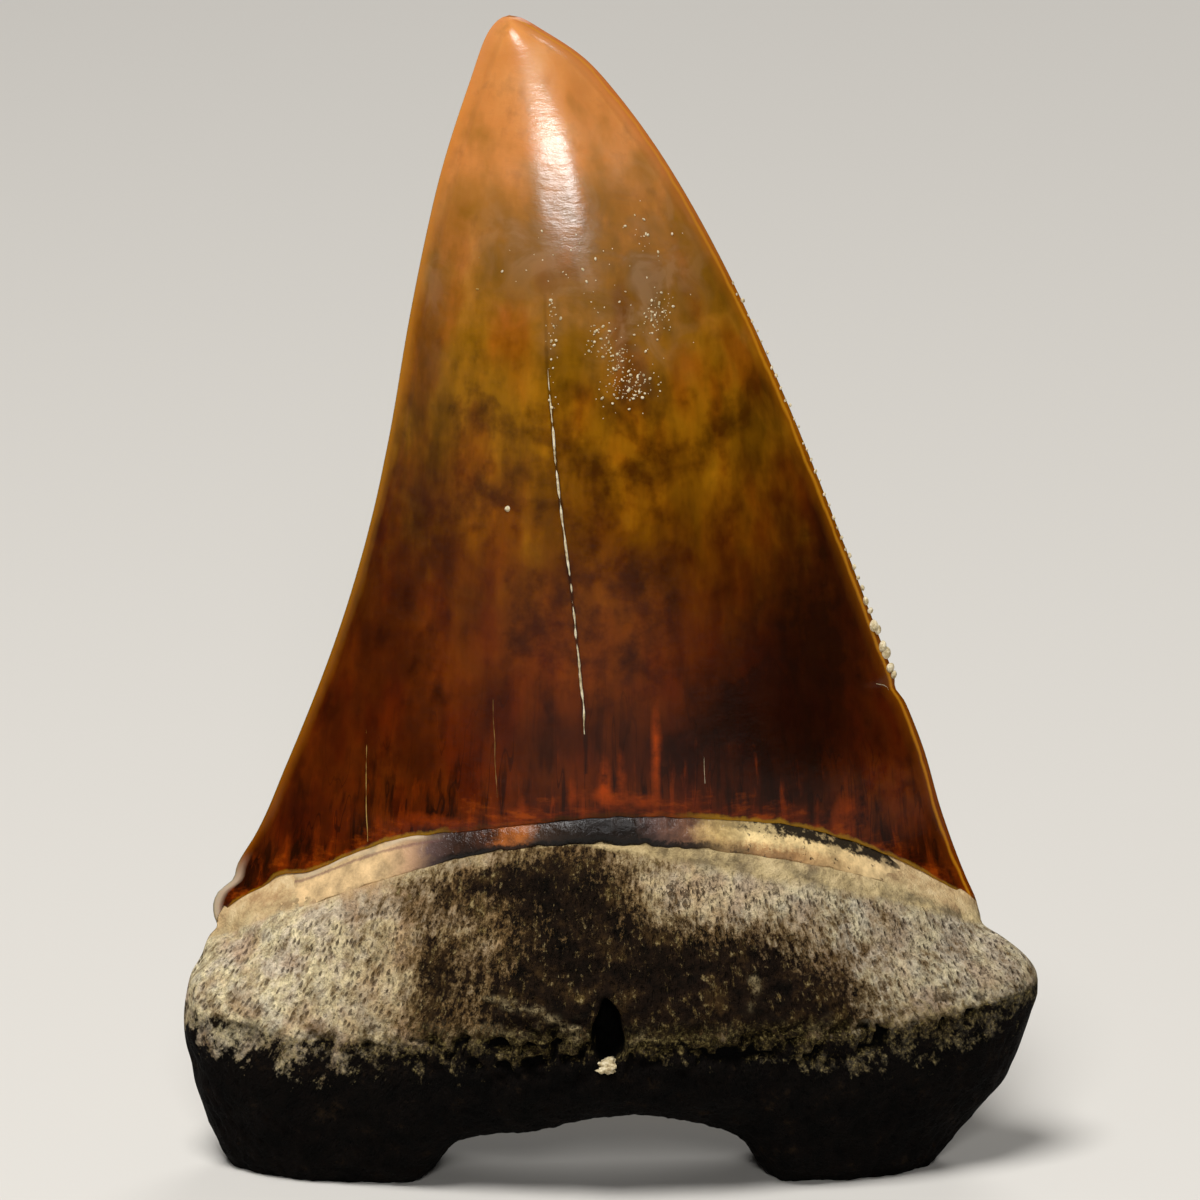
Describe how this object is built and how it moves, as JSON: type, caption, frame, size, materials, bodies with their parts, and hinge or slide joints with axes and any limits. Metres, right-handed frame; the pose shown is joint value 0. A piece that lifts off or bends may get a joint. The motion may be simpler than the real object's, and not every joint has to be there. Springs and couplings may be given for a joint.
{
  "type": "fossil carcharodon hubbelli tooth",
  "caption": "Fossil white shark tooth: a glossy amber crown with worn serration, a dark bourlette band and a porous root with two lobes that it stands on.",
  "frame": {"origin": "under the middle of the tooth's box, on the surface that its two root lobes stand on", "axes": "+Z from the feet to the tip, +Y from the tongue side to the lip side, +X to the right as the tongue side is seen"},
  "size_m": [0.0451, 0.0133, 0.0611],
  "materials": {
    "tooth": "mineralised tooth: glossy amber enamel crown over a porous cream and brown root"
  },
  "bodies": {
    "root": {"tooth": "tooth"}
  },
  "joints": []
}
